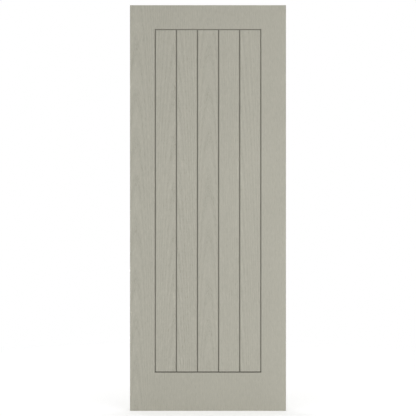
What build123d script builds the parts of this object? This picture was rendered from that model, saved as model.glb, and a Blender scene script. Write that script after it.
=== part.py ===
"""Cottage door leaf: a composite slab of two moulded skins, a lipped timber frame and a foam core.

X runs from the hinge edge of the leaf (0) to its lock edge, Y from the outer face to the inner face with 0 at
mid thickness, and Z from the foot of the leaf (0) upwards. All lengths are in millimetres, angles in degrees.
"""

import os
from math import cos, radians, tan

from build123d import *

# The leaf as it is hung, a standard 30 by 78 inch door 44 mm thick
LEAF_WIDTH = 762.0
LEAF_HEIGHT = 1981.0
LEAF_THICKNESS = 44.0

# Moulded skins, one on each face, with their outer corners eased
SKIN_THICKNESS = 2.5
EDGE_RADIUS = 1.2

# Groove pattern: one square-cornered frame of groove, divided into equal boards.
# Margins run from the edge of the leaf to the middle of the groove.
SIDE_MARGIN = 123.5
TOP_MARGIN = 119.5
BOTTOM_MARGIN = 189.5
BOARD_COUNT = 5

# Groove section: wide at its mouth, drawn in by the draft that frees the skin from its mould
GROOVE_MOUTH = 6.0
GROOVE_DEPTH = 5.0
GROOVE_DRAFT = 10.0
LIP_RADIUS = 0.8
FLOOR_RADIUS = 0.6

# Timber frame between the skins: lipped stiles at the sides, rails at head and foot
LIPPING_WIDTH = 10.0
LIPPING_CHAMFER = 0.5
STILE_WIDTH = 36.0
TOP_RAIL_HEIGHT = 45.0
BOTTOM_RAIL_HEIGHT = 70.0

# The space between the skins and the boards' layout follow from the sizes above
INNER_DEPTH = LEAF_THICKNESS - 2 * SKIN_THICKNESS
PANEL_WIDTH = LEAF_WIDTH - 2 * SIDE_MARGIN
PANEL_HEIGHT = LEAF_HEIGHT - TOP_MARGIN - BOTTOM_MARGIN
PANEL_CENTRE = (LEAF_WIDTH / 2, BOTTOM_MARGIN + PANEL_HEIGHT / 2)
BOARD_PITCH = PANEL_WIDTH / BOARD_COUNT
FRAME_SIDE = LIPPING_WIDTH + STILE_WIDTH

# The skin is as thick round the groove as it is in the flat, so each groove stands as a rib on its back.
# The rib's walls are parallel to the groove's, one skin thickness away.
RIB_MOUTH = GROOVE_MOUTH + 2 * SKIN_THICKNESS * (1 / cos(radians(GROOVE_DRAFT)) - tan(radians(GROOVE_DRAFT)))
RIB_RADIUS = FLOOR_RADIUS + SKIN_THICKNESS

OUTER_FACE = Plane.XZ.offset(LEAF_THICKNESS / 2)
OUTER_SKIN_BACK = OUTER_FACE.offset(-SKIN_THICKNESS)
MID_WIDTH = Plane.YZ.offset(LEAF_WIDTH / 2)


def groove_form(mouth_plane, mouth, floor_radius):
    """The whole groove pattern as one solid, from its mouth on a plane down to its rounded floor."""
    with BuildPart() as form:
        with BuildSketch(mouth_plane):
            with Locations(PANEL_CENTRE):
                Rectangle(PANEL_WIDTH + mouth, PANEL_HEIGHT + mouth)
                with GridLocations(BOARD_PITCH, PANEL_HEIGHT, BOARD_COUNT, 1):
                    Rectangle(BOARD_PITCH - mouth, PANEL_HEIGHT - mouth, mode=Mode.SUBTRACT)
        extrude(amount=-GROOVE_DEPTH)
        draft(form.faces().filter_by(Axis.Y, reverse=True), mouth_plane, -GROOVE_DRAFT)
        fillet(form.faces().sort_by(Axis.Y)[-1].edges(), radius=floor_radius)
    return form.part


groove = groove_form(OUTER_FACE, GROOVE_MOUTH, FLOOR_RADIUS)
rib = groove_form(OUTER_SKIN_BACK, RIB_MOUTH, RIB_RADIUS)

# Outer skin: a sheet with the ribs on its back and the grooves pressed into its face
with BuildPart() as outer_skin:
    with BuildSketch(OUTER_FACE):
        Rectangle(LEAF_WIDTH, LEAF_HEIGHT, align=Align.MIN)
    extrude(amount=-SKIN_THICKNESS)
    add(rib)
    add(groove, mode=Mode.SUBTRACT)
    flats = outer_skin.faces().group_by(Axis.Y)[0]
    border = flats.filter_by(lambda flat: flat.inner_wires())
    boards = flats.filter_by(lambda flat: not flat.inner_wires())
    lips = border[0].inner_wires()[0].edges() + boards.edges()
    rim = border[0].outer_wire().edges()
    fillet(lips, radius=LIP_RADIUS)
    fillet(rim, radius=EDGE_RADIUS)

# Inner skin: the same moulding on the room side
with BuildPart() as inner_skin:
    mirror(outer_skin.part, about=Plane.XZ)

# Hardwood lipping down the hinge edge, its two outer corners eased where it meets the skins
with BuildPart() as hinge_lipping:
    with BuildSketch(Plane.XY):
        Rectangle(LIPPING_WIDTH, INNER_DEPTH, align=(Align.MIN, Align.CENTER))
    extrude(amount=LEAF_HEIGHT)
    chamfer(hinge_lipping.edges().filter_by(Axis.Z).group_by(Axis.X)[0], length=LIPPING_CHAMFER)

with BuildPart() as lock_lipping:
    mirror(hinge_lipping.part, about=MID_WIDTH)

# Laminated stile behind each lipping, full height
with BuildPart() as hinge_stile:
    with BuildSketch(Plane.XY):
        with Locations((LIPPING_WIDTH, 0)):
            Rectangle(STILE_WIDTH, INNER_DEPTH, align=(Align.MIN, Align.CENTER))
    extrude(amount=LEAF_HEIGHT)

with BuildPart() as lock_stile:
    mirror(hinge_stile.part, about=MID_WIDTH)

# Rails between the stiles, at the foot and at the head
with BuildPart() as bottom_rail:
    with BuildSketch(Plane.XY):
        with Locations((FRAME_SIDE, 0)):
            Rectangle(LEAF_WIDTH - 2 * FRAME_SIDE, INNER_DEPTH, align=(Align.MIN, Align.CENTER))
    extrude(amount=BOTTOM_RAIL_HEIGHT)

with BuildPart() as top_rail:
    with BuildSketch(Plane.XY.offset(LEAF_HEIGHT)):
        with Locations((FRAME_SIDE, 0)):
            Rectangle(LEAF_WIDTH - 2 * FRAME_SIDE, INNER_DEPTH, align=(Align.MIN, Align.CENTER))
    extrude(amount=-TOP_RAIL_HEIGHT)

# Foam core: fills the frame, with a channel for each rib of both skins
with BuildPart() as foam_core:
    with BuildSketch(Plane.XY.offset(BOTTOM_RAIL_HEIGHT)):
        with Locations((FRAME_SIDE, 0)):
            Rectangle(LEAF_WIDTH - 2 * FRAME_SIDE, INNER_DEPTH, align=(Align.MIN, Align.CENTER))
    extrude(amount=LEAF_HEIGHT - BOTTOM_RAIL_HEIGHT - TOP_RAIL_HEIGHT)
    add(rib, mode=Mode.SUBTRACT)
    mirror(rib, about=Plane.XZ, mode=Mode.SUBTRACT)

leaf = {
    "outer_skin": outer_skin,
    "inner_skin": inner_skin,
    "hinge_lipping": hinge_lipping,
    "lock_lipping": lock_lipping,
    "hinge_stile": hinge_stile,
    "lock_stile": lock_stile,
    "bottom_rail": bottom_rail,
    "top_rail": top_rail,
    "foam_core": foam_core,
}

os.makedirs("parts", exist_ok=True)
for name, piece in leaf.items():
    piece.part.label = name
    export_step(piece.part, f"parts/{name}.step")
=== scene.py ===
# %% [markdown]
# # A cottage door leaf
# The object is one flush door leaf. Two moulded skins cover a timber frame and a foam core, and narrow
# grooves in the skins draw five upright boards. The construction comes as a fixed frame of solids, one
# for each piece. This lesson adds what those solids leave plain: the wood grain that is embossed in the
# skins, and every finish. All lengths are in metres. X runs from the hinge edge to the lock edge, -Y is
# out of the outer face and Z is up.

# %% Load the frame
import math

import bpy
import numpy as np
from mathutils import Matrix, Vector


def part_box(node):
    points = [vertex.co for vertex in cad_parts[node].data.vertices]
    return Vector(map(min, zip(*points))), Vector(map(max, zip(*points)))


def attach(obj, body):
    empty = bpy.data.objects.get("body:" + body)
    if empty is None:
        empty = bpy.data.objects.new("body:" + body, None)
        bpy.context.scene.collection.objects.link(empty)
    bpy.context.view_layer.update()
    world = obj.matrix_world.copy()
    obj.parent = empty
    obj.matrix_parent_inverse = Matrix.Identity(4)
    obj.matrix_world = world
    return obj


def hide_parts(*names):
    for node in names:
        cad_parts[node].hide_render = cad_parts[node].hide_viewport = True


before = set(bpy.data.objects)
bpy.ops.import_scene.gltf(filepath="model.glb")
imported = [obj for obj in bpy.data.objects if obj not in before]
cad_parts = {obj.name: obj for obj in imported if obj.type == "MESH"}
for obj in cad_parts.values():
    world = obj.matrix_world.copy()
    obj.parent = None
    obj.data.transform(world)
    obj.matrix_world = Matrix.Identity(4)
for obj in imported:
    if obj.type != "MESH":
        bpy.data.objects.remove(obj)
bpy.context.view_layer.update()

print("nodes:", ", ".join(sorted(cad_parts)))

# %% [markdown]
# ## Sizes
# The solids already know how large the leaf is, so its sizes are read from them and not typed again.
# The skin's thickness is what the timber lipping leaves free on one face, and the depth of the grooves
# is how far the ribs on the skin's back reach past that.

# %% Read the leaf's sizes
skin_low, skin_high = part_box("outer_skin")
lipping_low, lipping_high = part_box("hinge_lipping")
stile_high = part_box("hinge_stile")[1]

LEAF_WIDTH = skin_high[0]
LEAF_HEIGHT = skin_high[2]
LEAF_MIDDLE = LEAF_WIDTH / 2
OUTER_FACE = skin_low[1]
SKIN_THICKNESS = lipping_low[1] - OUTER_FACE
GROOVE_DEPTH = skin_high[1] - lipping_low[1]
TIMBER_DEPTH = lipping_high[1] - lipping_low[1]
LIPPING_SIDE = lipping_high[0]
STILE_SIDE = stile_high[0]

print(f"leaf {LEAF_WIDTH:.3f} x {LEAF_HEIGHT:.3f} m, timber {TIMBER_DEPTH * 1000:.1f} mm deep")
print(f"skin {SKIN_THICKNESS * 1000:.2f} mm, groove depth {GROOVE_DEPTH * 1000:.2f} mm")

# %% [markdown]
# ## Camera
# The photograph is a straight-on view: the grooves are upright and parallel, and no edge of the leaf
# shows. A long lens from far away gives that look, and it keeps other views natural too. The picture is
# square, so the distance follows from the lens, the sensor and how much of the picture's height the
# leaf fills.

# %% Stand the camera in front of the leaf
PICTURE_PIXELS = 416
LEAF_PIXELS = 405.8
LENS = 0.085
SENSOR = 0.036

seen_height = LEAF_HEIGHT * PICTURE_PIXELS / LEAF_PIXELS
camera_distance = seen_height * LENS / SENSOR

camera_data = bpy.data.cameras.new("camera")
camera_data.lens = LENS * 1000
camera_data.sensor_width = SENSOR * 1000
camera = bpy.data.objects.new("camera", camera_data)
camera.location = (LEAF_MIDDLE, OUTER_FACE - camera_distance, LEAF_HEIGHT / 2)
camera.rotation_euler = (math.radians(90), 0, 0)
bpy.context.scene.collection.objects.link(camera)
bpy.context.scene.camera = camera

print(f"the camera stands {camera_distance:.2f} m in front of the face")

# %% [markdown]
# ## Node helpers
# The world, the materials and Geometry Nodes are all node trees, so a few small helpers serve them all.
# The first adds a node and fills its inputs, where an input is either a plain value or the output of
# another node. The next two do arithmetic and move a value from one range to another, and the last
# starts a material.

# %% Helpers for node trees
def add_node(tree, kind, inputs=None, **settings):
    """A new node with its settings, its input values and its links."""
    node = tree.nodes.new(kind)
    for name, value in settings.items():
        setattr(node, name, value)
    for key, value in (inputs or {}).items():
        if isinstance(value, bpy.types.NodeSocket):
            tree.links.new(value, node.inputs[key])
        else:
            node.inputs[key].default_value = value
    return node


def calculate(tree, operation, *values):
    """The result of one Math node."""
    inputs = dict(enumerate(values))
    return add_node(tree, "ShaderNodeMath", inputs, operation=operation).outputs[0]


def stretch(tree, value, low, high, new_low, new_high):
    """A value moved from one range to another, and kept inside it."""
    inputs = {0: value, 1: low, 2: high, 3: new_low, 4: new_high}
    return add_node(tree, "ShaderNodeMapRange", inputs).outputs[0]


def new_material(name):
    """An empty node material, and its tree."""
    material = bpy.data.materials.new(name)
    material.use_nodes = True
    material.node_tree.nodes.clear()
    return material, material.node_tree


print("helpers ready")

# %% [markdown]
# ## Light
# The photograph has soft, even light from both sides, a little stronger from the right, with no hard
# shadow. One large lamp in front would give an even light too, but it would fill the grooves and wash
# out the grain. So the light comes from soft boxes that stand well to the sides, over a white world
# that fills in the rest. The two behind the leaf have their powers swapped, so that the inner face is
# lit just as the outer one is, and one high above lights the top edge and the floor. Together they are
# at a level where a colour renders about as it is written. The world looks fully white only to the
# camera and in reflections, so the white background adds no light of its own.

# %% White world
AMBIENT = 0.478
BACKDROP = 1.0
WHITE = (1, 1, 1, 1)


def seen_directly(tree):
    """1 for rays that show the background itself: seen by the camera, mirrored or through glass."""
    path = add_node(tree, "ShaderNodeLightPath").outputs
    indirect = calculate(tree, "MAXIMUM", path["Is Glossy Ray"], path["Is Transmission Ray"])
    return calculate(tree, "MAXIMUM", path["Is Camera Ray"], indirect)


world = bpy.data.worlds.new("studio")
world.use_nodes = True
sky = world.node_tree
sky.nodes.clear()
fill = add_node(sky, "ShaderNodeBackground", {"Color": WHITE, "Strength": AMBIENT})
backdrop = add_node(sky, "ShaderNodeBackground", {"Color": WHITE, "Strength": BACKDROP})
layers = {0: seen_directly(sky), 1: fill.outputs[0], 2: backdrop.outputs[0]}
shown = add_node(sky, "ShaderNodeMixShader", layers)
add_node(sky, "ShaderNodeOutputWorld", {"Surface": shown.outputs[0]})
bpy.context.scene.world = world
bpy.context.scene.view_settings.view_transform = "Standard"

print("world light", AMBIENT)

# %% Soft boxes
BOX_AWAY = 3.4
BOX_ASIDE = 3.4
BOX_SIZE = (1.2, 1.0)
BOX_MIDDLE = 0.35
STRONG_POWER = 98.0
WEAK_POWER = 39.0
# Each box: its name, which side of the leaf it is on, in front (-1) or behind (1), and its power
SIDE_BOXES = [
    ("front_right_box", 1, -1, STRONG_POWER),
    ("front_left_box", -1, -1, WEAK_POWER),
    ("back_right_box", 1, 1, WEAK_POWER),
    ("back_left_box", -1, 1, STRONG_POWER),
]
TOP_HEIGHT = 6.0
TOP_SIZE = (1.2, 2.6)
TOP_POWER = 80.0

print("soft boxes of", STRONG_POWER, WEAK_POWER, "and", TOP_POWER, "W")


# %% Stand the soft boxes round the leaf
def soft_box(name, place, aim, size, power):
    """A large area lamp at a place, turned to what it lights."""
    data = bpy.data.lights.new(name, "AREA")
    data.shape = "RECTANGLE"
    data.size, data.size_y = size
    data.energy = power
    lamp = bpy.data.objects.new(name, data)
    lamp.location = place
    lamp.rotation_euler = (Vector(aim) - Vector(place)).to_track_quat("-Z", "Y").to_euler()
    bpy.context.scene.collection.objects.link(lamp)


for box_name, side, depth, power in SIDE_BOXES:
    box_place = (LEAF_MIDDLE + side * BOX_ASIDE, depth * BOX_AWAY, BOX_MIDDLE)
    soft_box(box_name, box_place, (LEAF_MIDDLE, 0, BOX_MIDDLE), BOX_SIZE, power)
soft_box("top_box", (LEAF_MIDDLE, 0, TOP_HEIGHT), (LEAF_MIDDLE, 0, 0), TOP_SIZE, TOP_POWER)

print(len(SIDE_BOXES) + 1, "soft boxes stand round the leaf")

# %% [markdown]
# ## Floor
# The leaf stands on a plain white floor, which takes its shadow. A matt white under these lamps comes
# out pale grey near the leaf and burns out where a lamp stands, and other powers would spoil the leaf.
# So the floor differs from a matt one as the camera and reflections see it: beside the leaf it glows
# faintly, which keeps the shadow, and further out it fades to the plain white of the background.

# %% Look of the floor
FLOOR_PALE = (0.92, 0.92, 0.92, 1)
GLOW = 0.32
NEAR, FAR = 1.0, 2.5

ground, ground_tree = new_material("white_ground")
seen = seen_directly(ground_tree)
matt = add_node(ground_tree, "ShaderNodeBsdfDiffuse", {"Color": FLOOR_PALE})
glow = calculate(ground_tree, "MULTIPLY", seen, GLOW)
shine = add_node(ground_tree, "ShaderNodeEmission", {"Color": WHITE, "Strength": glow})
beside = add_node(ground_tree, "ShaderNodeAddShader", {0: matt.outputs[0], 1: shine.outputs[0]})
plain = add_node(ground_tree, "ShaderNodeEmission", {"Color": WHITE, "Strength": BACKDROP})
own_place = add_node(ground_tree, "ShaderNodeTexCoord").outputs["Object"]
from_leaf = add_node(ground_tree, "ShaderNodeVectorMath", {0: own_place}, operation="LENGTH")
faded = stretch(ground_tree, from_leaf.outputs["Value"], NEAR, FAR, 0.0, 1.0)
faded = calculate(ground_tree, "MULTIPLY", seen, faded)
looks = {0: faded, 1: beside.outputs[0], 2: plain.outputs[0]}
ground_look = add_node(ground_tree, "ShaderNodeMixShader", looks)
add_node(ground_tree, "ShaderNodeOutputMaterial", {"Surface": ground_look.outputs[0]})

print("the floor fades to white between", NEAR, "and", FAR, "m from the leaf")

# %% Lay the floor
FLOOR_SPAN = 14.0

reach = FLOOR_SPAN / 2
floor_mesh = bpy.data.meshes.new("floor")
floor_corners = [(-reach, -reach, 0), (reach, -reach, 0), (reach, reach, 0), (-reach, reach, 0)]
floor_mesh.from_pydata(floor_corners, [], [(0, 1, 2, 3)])
floor_mesh.materials.append(ground)
floor = bpy.data.objects.new("floor", floor_mesh)
floor.location = (LEAF_MIDDLE, 0, 0)
bpy.context.scene.collection.objects.link(floor)

print("floor", FLOOR_SPAN, "m square")

# %% [markdown]
# ## The groove's section
# Each groove is pressed into the skin by a ridge in the mould, so its walls lean outwards by the draft
# angle that lets the skin come free, its lips are eased and its floor is rounded. The section is worked
# out as a list of points: the distance in from the mouth of the groove, and the depth there. The rib on
# the skin's back has such a section too, one skin thickness away, and so has the rounded rim of the
# leaf. They could be typed as points, but drawn from angles and radii they stay true if a radius
# changes.

# %% Sections of the groove, the rib behind it and the rim
GROOVE_MOUTH = 0.006
GROOVE_DRAFT = math.radians(10)
LIP_RADIUS = 0.0008
FLOOR_RADIUS = 0.0006
RIM_RADIUS = 0.0012
ARC_STEPS = 2


def groove_section(lip_radius, floor_radius):
    """Distances in from the mouth line, and the depth at each, over lip, leaning wall and floor."""
    turn = math.pi / 2 - GROOVE_DRAFT
    angles = np.linspace(0, turn, ARC_STEPS + 1)
    lip_start = -lip_radius * math.tan(turn / 2)
    floor_end = GROOVE_DEPTH * math.tan(GROOVE_DRAFT) + floor_radius * math.tan(turn / 2)
    lip_in = lip_start + lip_radius * np.sin(angles)
    lip_down = lip_radius * (1 - np.cos(angles))
    floor_in = floor_end - floor_radius * np.sin(angles[::-1])
    floor_down = GROOVE_DEPTH - floor_radius * (1 - np.cos(angles[::-1]))
    return np.append(lip_in, floor_in), np.append(lip_down, floor_down)


rib_lean = 1 / math.cos(GROOVE_DRAFT) - math.tan(GROOVE_DRAFT)
RIB_MOUTH = GROOVE_MOUTH + 2 * SKIN_THICKNESS * rib_lean
groove_in, groove_down = groove_section(LIP_RADIUS, FLOOR_RADIUS)
rib_in, rib_down = groove_section(0, FLOOR_RADIUS + SKIN_THICKNESS)
rim_angles = np.linspace(math.pi / 2, 0, ARC_STEPS + 1)
rim_in = RIM_RADIUS * (1 - np.sin(rim_angles))
rim_down = RIM_RADIUS * (1 - np.cos(rim_angles))

print("groove section, in from its mouth in mm:", np.round(groove_in * 1000, 2))
print("groove section, down from the face in mm:", np.round(groove_down * 1000, 2))

# %% [markdown]
# ## The skin as a field of depths
# A moulded skin is a sheet, so at each place on the face it has one depth below the leaf's flat face.
# Cutting grooves out of a block would leave long thin triangles that can't take a relief. A field of
# depths gives a rectangular mesh instead: lines of points up and across the door, set where the section
# of a groove or the rim needs them, and evenly in the flats. Fine columns and longer rows suit grain
# that runs upright. One more line close beside each rounding keeps its smooth shading off the flats.
# The frame of groove is what lies inside the outer line of the panel and outside every board.

# %% Layout of the boards
SIDE_MARGIN = 0.1235
TOP_MARGIN = 0.1195
BOTTOM_MARGIN = 0.1895
BOARD_COUNT = 5

panel_left, panel_right = SIDE_MARGIN, LEAF_WIDTH - SIDE_MARGIN
panel_foot, panel_head = BOTTOM_MARGIN, LEAF_HEIGHT - TOP_MARGIN
BOARD_PITCH = (panel_right - panel_left) / BOARD_COUNT
upright_lines = [panel_left + BOARD_PITCH * i for i in range(BOARD_COUNT + 1)]
level_lines = [panel_foot, panel_head]
board_middles = [panel_left + BOARD_PITCH * (i + 0.5) for i in range(BOARD_COUNT)]


def groove_depth(x, z, mouth, section_in, section_down):
    """How deep the groove pattern is at each place."""
    from_sides = np.minimum(x - panel_left, panel_right - x)
    from_ends = np.minimum(z - panel_foot, panel_head - z)
    inside = np.minimum(from_sides, from_ends) + mouth / 2
    for middle in board_middles:
        past_board = np.maximum(np.abs(x - middle) - BOARD_PITCH / 2, -from_ends) + mouth / 2
        inside = np.minimum(inside, past_board)
    return np.interp(inside, section_in, section_down)


print("groove lines at", [round(line, 4) for line in upright_lines], "m across")

# %% Lines of points across and up the face
COLUMN_PITCH = 0.0019
ROW_PITCH = 0.0115
BESIDE_CURVE = 0.0006
SAME_PLACE_DIGITS = 7


def stations(length, lines, mouth, section_in, edge_in, pitch):
    """Places along one direction: the rim, the section of each groove, even steps in the flats."""
    fixed = [edge_in, length - edge_in]
    for line in lines:
        fixed += [line - mouth / 2 + section_in, line + mouth / 2 - section_in]
    fixed = np.unique(np.round(np.concatenate(fixed), SAME_PLACE_DIGITS))
    places = [fixed[:1]]
    for start, end in zip(fixed[:-1], fixed[1:]):
        steps = math.ceil((end - start) / pitch)
        places.append(np.linspace(start, end, steps + 1)[1:])
    return np.concatenate(places)


groove_marks = np.append(groove_in[0] - BESIDE_CURVE, groove_in)
rim_marks = np.append(rim_in, rim_in[-1] + BESIDE_CURVE)
plain_edge = np.zeros(1)
face_x = stations(LEAF_WIDTH, upright_lines, GROOVE_MOUTH, groove_marks, rim_marks, COLUMN_PITCH)
face_z = stations(LEAF_HEIGHT, level_lines, GROOVE_MOUTH, groove_marks, rim_marks, ROW_PITCH)
back_x = stations(LEAF_WIDTH, upright_lines, RIB_MOUTH, rib_in, plain_edge, LEAF_WIDTH)
back_z = stations(LEAF_HEIGHT, level_lines, RIB_MOUTH, rib_in, plain_edge, LEAF_HEIGHT)

print("face", len(face_x), "by", len(face_z), "points, back", len(back_x), "by", len(back_z))

# %% Depths of the face and of its back
face_grid_x, face_grid_z = np.meshgrid(face_x, face_z)
face_groove = groove_depth(face_grid_x, face_grid_z, GROOVE_MOUTH, groove_in, groove_down)
from_upright_edge = np.minimum(face_grid_x, LEAF_WIDTH - face_grid_x)
from_level_edge = np.minimum(face_grid_z, LEAF_HEIGHT - face_grid_z)
face_rim = np.interp(np.minimum(from_upright_edge, from_level_edge), rim_in, rim_down)
face_depth = np.maximum(face_groove, face_rim)

back_grid_x, back_grid_z = np.meshgrid(back_x, back_z)
back_depth = SKIN_THICKNESS + groove_depth(back_grid_x, back_grid_z, RIB_MOUTH, rib_in, rib_down)

print(f"the grooves reach {face_depth.max() * 1000:.2f} mm below the face")
print(f"the ribs on the back reach {back_depth.max() * 1000:.2f} mm below it")

# %% [markdown]
# ## Boards and their hearts
# The figure of a board depends on where it was cut from the tree. Near the heart the growth rings meet
# the face in tall arches, and further out they run as straight lines. In the photograph the middle
# board is a row of arches, the two boards left of it lean to a heart between them, and the rest runs
# nearly straight, weaker to the right. Chance could place the hearts, but then the boards would not
# look like these. So each board is given its heart line one by one, with the strength of its figure and
# the slope at which its strokes lean to that line, stored on the points of the mesh.

# %% Give each board its heart
BORDER_HEART = 0.030
BORDER_FIGURE = (0.73, 0.53)
BORDER_LEAN = (0.06, 0.0)
# Each board: how far its heart line is from its middle, the strength of its figure, and its lean
BOARD_FIGURES = [
    (0.045, 0.74, 0.14),
    (-0.060, 0.82, 0.10),
    (0.004, 0.65, 0.16),
    (0.120, 0.65, 0.0),
    (-0.060, 0.65, 0.06),
]

heart = np.full(face_depth.shape, BORDER_HEART)
figure = np.interp(face_grid_x, (0, LEAF_WIDTH), BORDER_FIGURE)
lean = np.interp(face_grid_x, (0, LEAF_WIDTH), BORDER_LEAN)
board = np.zeros(face_depth.shape)
over_foot = face_grid_z > panel_foot + GROOVE_MOUTH / 2
under_head = face_grid_z < panel_head - GROOVE_MOUTH / 2
for i, (heart_aside, strength, slope) in enumerate(BOARD_FIGURES):
    beside_middle = np.abs(face_grid_x - board_middles[i]) < BOARD_PITCH / 2
    here = over_foot & under_head & beside_middle
    heart[here] = board_middles[i] + heart_aside
    figure[here] = strength
    lean[here] = slope
    board[here] = i + 1

print("boards with a figure of their own:", int(board.max()))

# %% [markdown]
# ## Where grain ends and grooves darken
# The embossing fades out on the lips, because a mould's ridges are smooth. The grooves get painted
# shade: the paint is darker there and deeper in, so the grooves are darker than their shade from the
# lamps alone makes them, and the one at the foot, the darkest in the photograph, gets the most. Both
# follow from the depth, so they are worked out on the same points.

# %% Weights of the grain and of the painted shade in the grooves
# Painted shade in the grooves: how much of the dark groove colour they take, the most at the foot
GROOVE_SHADE = 0.62
FOOT_SHADE = 1.0

flat = np.clip(1 - face_depth / LIP_RADIUS, 0, 1)
# The painted shade deepens with the groove's depth
groove_shade = np.where(over_foot, GROOVE_SHADE, FOOT_SHADE) * face_groove / GROOVE_DEPTH

print(f"full grain on {np.mean(flat == 1):.0%} of the points")
print(f"groove paint on {np.mean(groove_shade > 0):.0%} of the points")

# %% [markdown]
# ## Closing the skin
# The face alone is a sheet with no thickness. The real skin is solid, with a rib behind every groove. A
# Solidify modifier would copy the whole dense face to the back, where it never shows. So the mesh gets
# a back of its own with far fewer points, and a narrow strip round the edge that ties the dense face to
# the sparse back. Zipping two rows of points together takes the next point of whichever row lags
# behind, so no point is left in the middle of another edge and the skin is closed.

# %% Quads of a grid and triangles of a strip
def grid_faces(index, outward):
    """Quads of a grid of points, wound to point outwards or the other way."""
    corners = [index[:-1, :-1], index[:-1, 1:], index[1:, 1:], index[1:, :-1]]
    quads = np.stack(corners, axis=-1).reshape(-1, 4)
    return quads if outward else quads[:, ::-1]


def zip_rows(near, near_at, far, far_at):
    """Triangles between two rows of points that run the same way."""
    triangles = []
    i = j = 0
    while i < len(near) - 1 or j < len(far) - 1:
        near_next = near_at[i + 1] if i < len(near) - 1 else math.inf
        far_next = far_at[j + 1] if j < len(far) - 1 else math.inf
        if near_next <= far_next:
            triangles.append((near[i + 1], near[i], far[j]))
            i += 1
        else:
            triangles.append((near[i], far[j], far[j + 1]))
            j += 1
    return triangles


print("a strip at the foot ties", len(face_x), "points to", len(back_x))

# %% Faces of one closed skin
face_index = np.arange(face_depth.size).reshape(face_depth.shape)
back_index = face_depth.size + np.arange(back_depth.size).reshape(back_depth.shape)
face_quads = grid_faces(face_index, True)
back_quads = grid_faces(back_index, False)
# The strips go round the leaf: foot, lock edge, head, hinge edge
strips = [
    zip_rows(face_index[0, :], face_x, back_index[0, :], back_x),
    zip_rows(face_index[:, -1], face_z, back_index[:, -1], back_z),
    zip_rows(face_index[-1, ::-1], -face_x[::-1], back_index[-1, ::-1], -back_x[::-1]),
    zip_rows(face_index[::-1, 0], -face_z[::-1], back_index[::-1, 0], -back_z[::-1]),
]
edge_triangles = [triangle for strip in strips for triangle in strip]
skin_faces = face_quads.tolist() + back_quads.tolist() + edge_triangles
triangle_count = 2 * (len(face_quads) + len(back_quads)) + len(edge_triangles)

print("one skin has", triangle_count, "triangles")

# %% [markdown]
# ## A map for the finish
# A piece that is taken to another program carries its finish as a picture, so it needs a map from its
# surface to a square. An automatic map would cut every groove wall into islands. This one is drawn from
# listed places: the face fills nearly the whole square, finer across the grain than along it, and the
# hidden back and the edges get thin strips beside it.

# %% Places on the map
# Each place in the square: left, right, low, high
FACE_MAP = (0.02, 0.95, 0.02, 0.98)
BACK_MAP = (0.985, 0.998, 0.02, 0.98)
FOOT_MAP = (0.02, 0.95, 0.004, 0.012)
LOCK_MAP = (0.970, 0.978, 0.02, 0.98)
HEAD_MAP = (0.02, 0.95, 0.988, 0.996)
HINGE_MAP = (0.957, 0.965, 0.02, 0.98)

face_left, face_right, face_low, face_high = FACE_MAP
print(f"the face takes {(face_right - face_left) * (face_high - face_low):.0%} of the map")


# %% Draw the map
def read_points(mesh):
    """The places of a mesh's points, one in each row."""
    points = np.empty(len(mesh.vertices) * 3)
    mesh.vertices.foreach_get("co", points)
    return points.reshape(-1, 3)


def draw_map(mesh):
    """The map from listed places on a skin that lies in the outer face's place."""
    corners = np.empty(len(mesh.loops), dtype=int)
    mesh.loops.foreach_get("vertex_index", corners)
    spots = read_points(mesh)[corners]
    across = spots[:, 0] / LEAF_WIDTH
    inward = (spots[:, 1] - OUTER_FACE) / (SKIN_THICKNESS + GROOVE_DEPTH)
    up = spots[:, 2] / LEAF_HEIGHT
    parts = [
        (across, up, FACE_MAP),
        (across, up, BACK_MAP),
        (across, inward, FOOT_MAP),
        (inward, up, LOCK_MAP),
        (across, inward, HEAD_MAP),
        (inward, up, HINGE_MAP),
    ]
    # The mesh lists its corners in the same order: quads of face and back, then the strips
    counts = [4 * len(face_quads), 4 * len(back_quads)] + [3 * len(strip) for strip in strips]
    ends = np.cumsum(counts)
    mapped = np.empty((len(corners), 2))
    for (sideways, upwards, place), start, end in zip(parts, ends - counts, ends):
        left, right, low, high = place
        mapped[start:end, 0] = left + (right - left) * sideways[start:end]
        mapped[start:end, 1] = low + (high - low) * upwards[start:end]
    mesh.uv_layers.new(name="OFBake").data.foreach_set("uv", mapped.ravel())


print("the map holds face, back and", len(strips), "edge strips")

# %% One plain skin
SHARP_EDGE = math.radians(50)


def skin_mesh(name):
    """The outer skin as a plain closed mesh, with what the grain needs stored on its points."""
    face_points = np.stack([face_grid_x, OUTER_FACE + face_depth, face_grid_z], axis=-1)
    back_points = np.stack([back_grid_x, OUTER_FACE + back_depth, back_grid_z], axis=-1)
    points = np.concatenate([face_points.reshape(-1, 3), back_points.reshape(-1, 3)])
    mesh = bpy.data.meshes.new(name)
    mesh.from_pydata(points.tolist(), [], skin_faces)
    stored = {
        "across": face_grid_x,
        "up": face_grid_z,
        "board": board,
        "heart": heart,
        "figure": figure,
        "lean": lean,
        "flat": flat,
        # painted shade in the grooves
        "groove": groove_shade,
    }
    for key, values in stored.items():
        padded = np.append(values.ravel(), np.zeros(back_depth.size))
        mesh.attributes.new(key, "FLOAT", "POINT").data.foreach_set("value", padded)
    draw_map(mesh)
    mesh.shade_smooth()
    mesh.set_sharp_from_angle(angle=SHARP_EDGE)
    return mesh


print("a skin has", face_depth.size, "points on its face and", back_depth.size, "on its back")

# %% [markdown]
# ## The rule of the grain
# Growth rings are shells round the heart of the tree, so the ring that a point of the face belongs to
# follows from its distance to the heart. The heart lies behind the face and leans away with height,
# which turns the rings into arches that point up. No two rings are alike, so noise makes them wander
# and gives them different widths. The short strokes of the wood are noise too, stretched along the
# grain. They follow the arches, so they lean to the heart line from both sides, each side with a layer
# of noise of its own so that the two are not mirror images. A wave texture could draw straight rings,
# but not arches that belong to a heart. The relief and the paint both need this rule, so it is written
# once, as nodes that fit either kind of tree.

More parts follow.
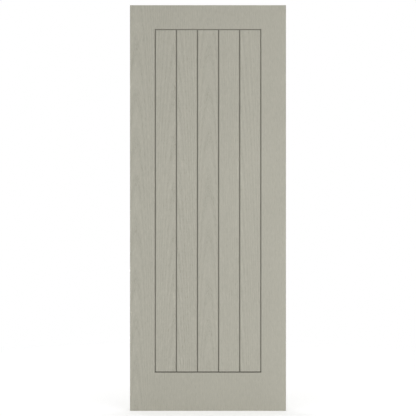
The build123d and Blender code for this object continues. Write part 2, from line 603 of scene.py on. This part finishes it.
# %% Sizes of the grain
GRAIN_SIZES = {
    "Relief depth": 0.00025,
    "Ring spacing": 0.0066,
    "Ring variety": 0.012,
    "Heart depth": 0.060,
    "Heart lean": 0.030,
    "Ring wander": 0.010,
    "Streak width": 0.0065,
    "Streak length": 0.045,
    "Seed": 3.0,
}

print("rings every", GRAIN_SIZES["Ring spacing"] * 1000, "mm")

# %% Noise along the grain
BOARD_STEP = 7.31
NOISE_DETAIL = 2.0


def stored_value(tree, name):
    """A value that was stored on the points."""
    if tree.bl_idname == "GeometryNodeTree":
        node = add_node(tree, "GeometryNodeInputNamedAttribute", {"Name": name}, data_type="FLOAT")
        return node.outputs["Attribute"]
    return add_node(tree, "ShaderNodeAttribute", attribute_name=name).outputs["Fac"]


def noise_layer(tree, seed):
    """A layer of noise for each board."""
    return calculate(tree, "MULTIPLY_ADD", stored_value(tree, "board"), BOARD_STEP, seed)


def grain_noise(tree, size, across, up, layer):
    """Noise in one layer, stretched to a width and a length along the grain."""
    width, length = size
    spot = add_node(tree, "ShaderNodeCombineXYZ", {
        0: calculate(tree, "DIVIDE", across, width),
        1: layer,
        2: calculate(tree, "DIVIDE", up, length),
    }).outputs[0]
    inputs = {"Vector": spot, "Scale": 1.0, "Detail": NOISE_DETAIL}
    return add_node(tree, "ShaderNodeTexNoise", inputs).outputs[0]


print("each board's noise is", BOARD_STEP, "layers from the next")

# %% Strokes that lean to the heart
SIDE_STEP = 3.7
HEART_WIDTH = 0.008


def leaning_place(tree, across, up, layer):
    """The place across strokes that lean to the heart line with height, and that side's layer."""
    aside = calculate(tree, "SUBTRACT", across, stored_value(tree, "heart"))
    aside_square = calculate(tree, "MULTIPLY_ADD", aside, aside, HEART_WIDTH ** 2)
    from_line = calculate(tree, "SQRT", aside_square)
    place = calculate(tree, "MULTIPLY_ADD", up, stored_value(tree, "lean"), from_line)
    side_step = stretch(tree, aside, -HEART_WIDTH, HEART_WIDTH, 0.0, SIDE_STEP)
    return place, calculate(tree, "ADD", layer, side_step)


def strokes(tree, kind, place, up, layer):
    """One kind of stroke along the grain, from 0 to 1."""
    size, levels, own_layer = kind
    noise = grain_noise(tree, size, place, up, calculate(tree, "ADD", layer, own_layer))
    return stretch(tree, noise, *levels, 0.0, 1.0)


print("strokes turn over within", HEART_WIDTH * 1000, "mm of a heart line")

# %% Growth rings
BEND_SIZE = (0.07, 0.55)
RIPPLE_SIZE = (0.014, 0.11)
RIPPLE_SHARE = 0.35
SEASON_SIZE = (0.022, 9.0)
NOISE_MIDDLE = 0.5
RING_SHARPNESS = 1.6


def ring_lines(tree, sizes, across, up, layer):
    """Growth rings, from 0 between two rings to 1 on a ring."""
    bend = grain_noise(tree, BEND_SIZE, across, up, layer)
    bend = calculate(tree, "SUBTRACT", bend, NOISE_MIDDLE)
    ripple = grain_noise(tree, RIPPLE_SIZE, across, up, layer)
    ripple = calculate(tree, "SUBTRACT", ripple, NOISE_MIDDLE)
    wander = calculate(tree, "MULTIPLY_ADD", ripple, RIPPLE_SHARE, bend)
    aside = calculate(tree, "SUBTRACT", across, stored_value(tree, "heart"))
    aside = calculate(tree, "MULTIPLY_ADD", wander, sizes["Ring wander"], aside)
    behind = calculate(tree, "MULTIPLY_ADD", up, sizes["Heart lean"], sizes["Heart depth"])
    from_heart = calculate(tree, "MULTIPLY", behind, behind)
    from_heart = calculate(tree, "MULTIPLY_ADD", aside, aside, from_heart)
    from_heart = calculate(tree, "SQRT", from_heart)
    season = grain_noise(tree, SEASON_SIZE, from_heart, up, layer)
    grown = calculate(tree, "MULTIPLY_ADD", season, sizes["Ring variety"], from_heart)
    turns = calculate(tree, "DIVIDE", grown, sizes["Ring spacing"])
    wave = calculate(tree, "COSINE", calculate(tree, "MULTIPLY", turns, 2 * math.pi))
    wave = stretch(tree, wave, -1.0, 1.0, 0.0, 1.0)
    return calculate(tree, "POWER", wave, RING_SHARPNESS)


print("the rule of the rings is ready")

# %% [markdown]
# ## The embossed grain
# The mould was taken from real boards, so the skin has their grain as a shallow relief: growth rings as
# broad lines, and streaks where the pores run. Bump in a material could fake it, but the relief would
# then be missing from the mesh. Geometry Nodes can press it in as a rule: each point of the flat face
# sinks by the sum of ring and streak, and the tree's named inputs are the sizes of the grain.

# %% The tree that presses the grain
STREAK_LEVELS = (0.36, 0.70)
RING_RELIEF, STREAK_RELIEF = 0.48, 0.52


def embossed_grain_tree():
    """Presses the grain into the outer skin, which carries its boards' values on its points."""
    tree = bpy.data.node_groups.new("embossed_grain", "GeometryNodeTree")
    tree.interface.new_socket("Geometry", in_out="INPUT", socket_type="NodeSocketGeometry")
    for name, value in GRAIN_SIZES.items():
        socket = tree.interface.new_socket(name, in_out="INPUT", socket_type="NodeSocketFloat")
        socket.default_value = value
    tree.interface.new_socket("Paint", in_out="INPUT", socket_type="NodeSocketMaterial")
    tree.interface.new_socket("Geometry", in_out="OUTPUT", socket_type="NodeSocketGeometry")
    given = add_node(tree, "NodeGroupInput").outputs

    across = stored_value(tree, "across")
    up = stored_value(tree, "up")
    layer = noise_layer(tree, given["Seed"])
    place, side_layer = leaning_place(tree, across, up, layer)
    streak_kind = ((given["Streak width"], given["Streak length"]), STREAK_LEVELS, 0.0)
    streaks = strokes(tree, streak_kind, place, up, side_layer)
    grain = calculate(tree, "MULTIPLY", streaks, STREAK_RELIEF)
    rings = ring_lines(tree, given, across, up, layer)
    grain = calculate(tree, "MULTIPLY_ADD", rings, RING_RELIEF, grain)
    grain = calculate(tree, "MULTIPLY", grain, stored_value(tree, "figure"))
    grain = calculate(tree, "MULTIPLY", grain, stored_value(tree, "flat"))

    sink = calculate(tree, "MULTIPLY", grain, given["Relief depth"])
    inward = add_node(tree, "ShaderNodeCombineXYZ", {1: sink}).outputs[0]
    sunk = {"Geometry": given["Geometry"], "Offset": inward}
    pressed = add_node(tree, "GeometryNodeSetPosition", sunk)
    real = add_node(tree, "GeometryNodeRealizeInstances", {"Geometry": pressed.outputs[0]})
    coat = {"Geometry": real.outputs[0], "Material": given["Paint"]}
    painted = add_node(tree, "GeometryNodeSetMaterial", coat)
    add_node(tree, "NodeGroupOutput", {"Geometry": painted.outputs[0]})
    return tree


grain_tree = embossed_grain_tree()
print("grain tree with", len(grain_tree.nodes), "nodes")

# %% [markdown]
# ## Face paint
# The face has one coat of pale, warm grey paint with a satin gloss. It is not one flat colour: painted
# shade makes it darker in the hollows of the grain and in the grooves, a painted highlight makes it
# paler on the ridges between them, and it varies very slightly over the sheet, as sprayed paint does.
# The pores and slits of the wood are too fine for the mesh, so they are in the paint, with a little
# bump.
# As in real wood they crowd on the rings, and the ridges stand between the rings, so the paint reads
# the same rule as the relief. It reads the place on the mould from the points and not the place in
# space, so both skins match their relief.

# %% Hollows and ridges of the grain
# Each kind of stroke: its width and length, the noise levels where it starts and is full, its layer
FLECKS = ((0.0062, 0.030), (0.36, 0.66), 5.1)
PORES = ((0.0027, 0.030), (0.44, 0.68), 1.3)
SLITS = ((0.0009, 0.016), (0.56, 0.60), 2.7)
RIDGES = ((0.0034, 0.026), (0.46, 0.68), 8.3)
# How strongly each kind shows at a place between the rings, and on a ring
PORE_SHARES = (0.14, 0.58)
SLIT_SHARES = (0.25, 0.70)
RIDGE_SHARES = (0.80, 0.24)
# How far on to a ring, from 0 to 1, the slits have their full strength
SLITS_FULL = 0.6
RING_SHARE, FLECK_SHARE = 0.06, 0.08


def grain_marks(tree):
    """How deep a place lies in the grain, and how far it stands proud, each from 0 to about 1."""
    across = stored_value(tree, "across")
    up = stored_value(tree, "up")
    layer = noise_layer(tree, GRAIN_SIZES["Seed"])
    rings = ring_lines(tree, GRAIN_SIZES, across, up, layer)
    place, side_layer = leaning_place(tree, across, up, layer)
    hollow = calculate(tree, "MULTIPLY", rings, RING_SHARE)
    flecks = strokes(tree, FLECKS, place, up, side_layer)
    hollow = calculate(tree, "MULTIPLY_ADD", flecks, FLECK_SHARE, hollow)
    pores = strokes(tree, PORES, place, up, side_layer)
    pore_share = stretch(tree, rings, 0.0, 1.0, *PORE_SHARES)
    hollow = calculate(tree, "MULTIPLY_ADD", pores, pore_share, hollow)
    slits = strokes(tree, SLITS, place, up, side_layer)
    slit_share = stretch(tree, rings, 0.0, SLITS_FULL, *SLIT_SHARES)
    hollow = calculate(tree, "MULTIPLY_ADD", slits, slit_share, hollow)
    # The ridges serve the bump, and the face paint also gives them a painted highlight
    ridge = strokes(tree, RIDGES, place, up, side_layer)
    ridge_share = stretch(tree, rings, 0.0, 1.0, *RIDGE_SHARES)
    ridge = calculate(tree, "MULTIPLY", ridge, ridge_share)
    weight = calculate(tree, "MULTIPLY", stored_value(tree, "figure"), stored_value(tree, "flat"))
    return calculate(tree, "MULTIPLY", hollow, weight), calculate(tree, "MULTIPLY", ridge, weight)


print("pores", PORES[0][0] * 1000, "mm wide, slits", SLITS[0][0] * 1000, "mm wide")

# %% Helpers for paint
CLOUD_DETAIL = 3.0
CLOUD_LEVELS = (0.3, 0.7)
# A Mix node has sockets for each type that it can mix. These are the places of its colour sockets.
FIRST_COLOUR, SECOND_COLOUR, MIXED_COLOUR = 6, 7, 2


def mix_colours(tree, factor, first, second):
    """A mix of two colours, each a plain colour or another node's output."""
    node = add_node(tree, "ShaderNodeMix", {"Factor": factor}, data_type="RGBA")
    for place, colour in ((FIRST_COLOUR, first), (SECOND_COLOUR, second)):
        if isinstance(colour, bpy.types.NodeSocket):
            tree.links.new(colour, node.inputs[place])
        else:
            node.inputs[place].default_value = (*colour, 1)
    return node.outputs[MIXED_COLOUR]


def own_noise(tree, scale):
    """Noise on the piece's own coordinates, stretched by a scale in each direction."""
    own = add_node(tree, "ShaderNodeTexCoord").outputs["Object"]
    stretched = add_node(tree, "ShaderNodeMapping", {"Vector": own, "Scale": scale}).outputs[0]
    inputs = {"Vector": stretched, "Scale": 1.0, "Detail": CLOUD_DETAIL}
    return add_node(tree, "ShaderNodeTexNoise", inputs).outputs[0]


def satin_coat(tree, colour, hollow, clouds, tints, dip, roughness):
    """The end of a paint: clouds in its colour, and hollows that dip and are less glossy."""
    tint = stretch(tree, own_noise(tree, clouds), *CLOUD_LEVELS, *tints)
    tinted = add_node(tree, "ShaderNodeVectorMath", {0: colour, "Scale": tint}, operation="SCALE")
    strength, depth = dip
    bump = {"Height": hollow, "Strength": strength, "Distance": depth}
    surface = add_node(tree, "ShaderNodeBsdfPrincipled", {
        "Base Color": tinted.outputs[0],
        "Roughness": stretch(tree, hollow, 0.0, 1.0, *roughness),
        "Normal": add_node(tree, "ShaderNodeBump", bump, invert=True).outputs[0],
    })
    add_node(tree, "ShaderNodeOutputMaterial", {"Surface": surface.outputs[0]})


print("paint helpers ready")

# %% Mix the face paint
PAINT = (0.4265, 0.4143, 0.3503)
# Painted highlight: a paler colour on the ridges of the grain
PAINTED_HIGHLIGHT = (0.499, 0.487, 0.4142)
# Dark lines, glued layers and joints in the timber, and painted shade in the hollows of the face's
# grain
DARK_LINES_AND_PAINTED_SHADE = (0.312, 0.301, 0.248)
# Painted shade in the grooves
PAINTED_GROOVE_SHADE = (0.115, 0.111, 0.089)
FACE_CLOUDS = (4.0, 4.0, 2.2)
FACE_TINTS = (0.985, 1.015)
FACE_DIP = (0.5, 0.0001)
FACE_ROUGHNESS = (0.42, 0.58)


def face_paint():
    """Satin warm grey paint over the embossed grain."""
    material, tree = new_material("skin_paint")
    hollow, ridge = grain_marks(tree)
    # Painted highlight on the ridges of the grain
    colour = mix_colours(tree, ridge, PAINT, PAINTED_HIGHLIGHT)
    # Painted shade in the hollows of the grain
    colour = mix_colours(tree, hollow, colour, DARK_LINES_AND_PAINTED_SHADE)
    # Painted shade in the grooves, weighted by the stored groove value
    colour = mix_colours(tree, stored_value(tree, "groove"), colour, PAINTED_GROOVE_SHADE)
    depth = calculate(tree, "SUBTRACT", hollow, ridge)
    satin_coat(tree, colour, depth, FACE_CLOUDS, FACE_TINTS, FACE_DIP, FACE_ROUGHNESS)
    return material


skin_paint = face_paint()
print("face paint with", len(skin_paint.node_tree.nodes), "nodes")

# %% [markdown]
# ## Both skins
# The same mould makes both skins, so the inner one is the outer one turned half round about the leaf's
# upright middle. A mirror would do for the grooves, but it would turn the faces inside out and make the
# two grains mirror images. A turn keeps both right. Each skin is evaluated with its grain and kept as a
# plain mesh, which then takes the place of the plain solid.

# %% Press the grain into both skins
def pressed_skin(name):
    """A skin with its grain, as a plain mesh in the outer face's place."""
    piece = bpy.data.objects.new(name, skin_mesh(name))
    bpy.context.scene.collection.objects.link(piece)
    modifier = piece.modifiers.new("embossed_grain", "NODES")
    modifier.node_group = grain_tree
    inputs = [item for item in grain_tree.interface.items_tree if item.in_out == "INPUT"]
    sockets = {item.name: item.identifier for item in inputs}
    for key, value in GRAIN_SIZES.items():
        modifier[sockets[key]] = value
    modifier[sockets["Paint"]] = skin_paint
    depsgraph = bpy.context.evaluated_depsgraph_get()
    finished = bpy.data.meshes.new_from_object(
        piece.evaluated_get(depsgraph), preserve_all_data_layers=True, depsgraph=depsgraph
    )
    piece.modifiers.clear()
    piece.data = finished
    return piece


outer_skin = pressed_skin("outer_skin_moulded")
inner_skin = pressed_skin("inner_skin_moulded")

print("pressed", outer_skin.name, "and", inner_skin.name)


# %% Turn the inner skin and place both
def turn_half_round(mesh):
    """Half a turn about the upright middle of the leaf."""
    points = read_points(mesh)
    points[:, 0] = LEAF_WIDTH - points[:, 0]
    points[:, 1] = -points[:, 1]
    mesh.vertices.foreach_set("co", points.ravel())
    mesh.update()


turn_half_round(inner_skin.data)
for piece, node in ((outer_skin, "outer_skin"), (inner_skin, "inner_skin")):
    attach(piece, "root")
    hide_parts(node)
    print(piece.name, "has", len(piece.data.polygons), "faces and stands for", node)

# %% [markdown]
# ## Painted timber
# The edges of the leaf are timber: a hardwood lipping down each side, and the ends of laminated
# uprights and rails at head and foot. They are painted with the face, so they share its grey, but wood
# shows through paint as fine lines along its grain, glued layers show as faint lines on cut ends, and a
# hair line marks each joint. Every line could be cut into a mesh, but these are flat solids whose shape
# is right. So they stay as they are and get a finish that reads the place on the leaf, where the sizes
# say where each joint is.

# %% Lines where timber pieces meet
JOINT_WIDTH = 0.0005


def joint_lines(tree, own):
    """1 where a timber piece meets its neighbours, 0 elsewhere, alike on both sides of the leaf."""
    place = add_node(tree, "ShaderNodeSeparateXYZ", {0: own}).outputs
    from_middle = calculate(tree, "ABSOLUTE", calculate(tree, "SUBTRACT", place[0], LEAF_MIDDLE))
    from_side = calculate(tree, "SUBTRACT", LEAF_MIDDLE, from_middle)
    nearest = calculate(tree, "SUBTRACT", TIMBER_DEPTH / 2, calculate(tree, "ABSOLUTE", place[1]))
    for joint in (LIPPING_SIDE, STILE_SIDE):
        to_joint = calculate(tree, "ABSOLUTE", calculate(tree, "SUBTRACT", from_side, joint))
        nearest = calculate(tree, "MINIMUM", nearest, to_joint)
    return stretch(tree, nearest, 0.0, JOINT_WIDTH, 1.0, 0.0)


print(f"joints {LIPPING_SIDE * 1000:.0f} and {STILE_SIDE * 1000:.0f} mm from each side")

# %% Paint for timber
GRAIN_LEVELS, GRAIN_SHARE = (0.40, 0.72), 0.55
LAYER = 0.0032
GLUE_LEVELS, GLUE_SHARE = (0.86, 1.0), 0.35
TIMBER_CLOUDS = (9.0, 9.0, 3.0)
TIMBER_TINTS = (0.97, 1.02)
TIMBER_DIP = (0.6, 0.00012)
TIMBER_ROUGHNESS = (0.45, 0.66)


def timber_paint(name, line_spacing, glue_share):
    """Paint over timber: fine lines with a spacing for each direction, and glued layers."""
    material, tree = new_material(name)
    own = add_node(tree, "ShaderNodeTexCoord").outputs["Object"]
    lines = own_noise(tree, tuple(1 / step for step in line_spacing))
    lines = stretch(tree, lines, *GRAIN_LEVELS, 0.0, GRAIN_SHARE)
    through = add_node(tree, "ShaderNodeSeparateXYZ", {0: own}).outputs[1]
    layers = calculate(tree, "SINE", calculate(tree, "MULTIPLY", through, 2 * math.pi / LAYER))
    layers = stretch(tree, layers, *GLUE_LEVELS, 0.0, glue_share)
    hollow = calculate(tree, "ADD", lines, layers)
    hollow = calculate(tree, "MAXIMUM", hollow, joint_lines(tree, own))
    colour = mix_colours(tree, hollow, PAINT, DARK_LINES_AND_PAINTED_SHADE)
    satin_coat(tree, colour, hollow, TIMBER_CLOUDS, TIMBER_TINTS, TIMBER_DIP, TIMBER_ROUGHNESS)
    return material


print("glued layers every", LAYER * 1000, "mm")

# %% Paint the timber
SLOW_GRAIN = 0.09
HARDWOOD_GRAIN = 0.0012
LAMINATE_GRAIN = 0.0016


def dress(nodes, material):
    """Give CAD nodes a finish."""
    for name in nodes:
        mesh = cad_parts[name].data
        mesh.materials.clear()
        mesh.materials.append(material)


lipping_paint = timber_paint("lipping_paint", (HARDWOOD_GRAIN, HARDWOOD_GRAIN, SLOW_GRAIN), 0.0)
stile_paint = timber_paint("stile_paint", (LAMINATE_GRAIN, LAMINATE_GRAIN, SLOW_GRAIN), GLUE_SHARE)
rail_paint = timber_paint("rail_paint", (SLOW_GRAIN, LAMINATE_GRAIN, LAMINATE_GRAIN), GLUE_SHARE)
dress(["hinge_lipping", "lock_lipping"], lipping_paint)
dress(["hinge_stile", "lock_stile"], stile_paint)
dress(["bottom_rail", "top_rail"], rail_paint)

print("timber finishes:", lipping_paint.name, stile_paint.name, rail_paint.name)

# %% [markdown]
# ## Foam core
# The core is rigid foam that is closed in on all sides. It could keep a flat colour, because it never
# shows, but then the leaf would be wrong if someone cuts it open. So it gets a finish too, pale yellow
# with small cells.

# %% Finish the core
FOAM = (0.76, 0.69, 0.50)
FOAM_CELL = (0.58, 0.50, 0.33)
CELL_SIZE = 0.0009
CELL_DIP = 0.0002
FOAM_CLOUDS = (14.0, 14.0, 14.0)
FOAM_ROUGHNESS = 0.9


def foam_finish():
    """Rigid foam with small closed cells."""
    material, tree = new_material("core_foam")
    own = add_node(tree, "ShaderNodeTexCoord").outputs["Object"]
    foam = add_node(tree, "ShaderNodeTexVoronoi", {"Vector": own, "Scale": 1 / CELL_SIZE})
    cells = foam.outputs["Distance"]
    tint = calculate(tree, "MULTIPLY", cells, own_noise(tree, FOAM_CLOUDS))
    bump = {"Height": cells, "Distance": CELL_DIP}
    surface = add_node(tree, "ShaderNodeBsdfPrincipled", {
        "Base Color": mix_colours(tree, tint, FOAM, FOAM_CELL),
        "Roughness": FOAM_ROUGHNESS,
        "Normal": add_node(tree, "ShaderNodeBump", bump).outputs[0],
    })
    add_node(tree, "ShaderNodeOutputMaterial", {"Surface": surface.outputs[0]})
    return material


dress(["foam_core"], foam_finish())
print("core finished with cells of", CELL_SIZE * 1000, "mm")
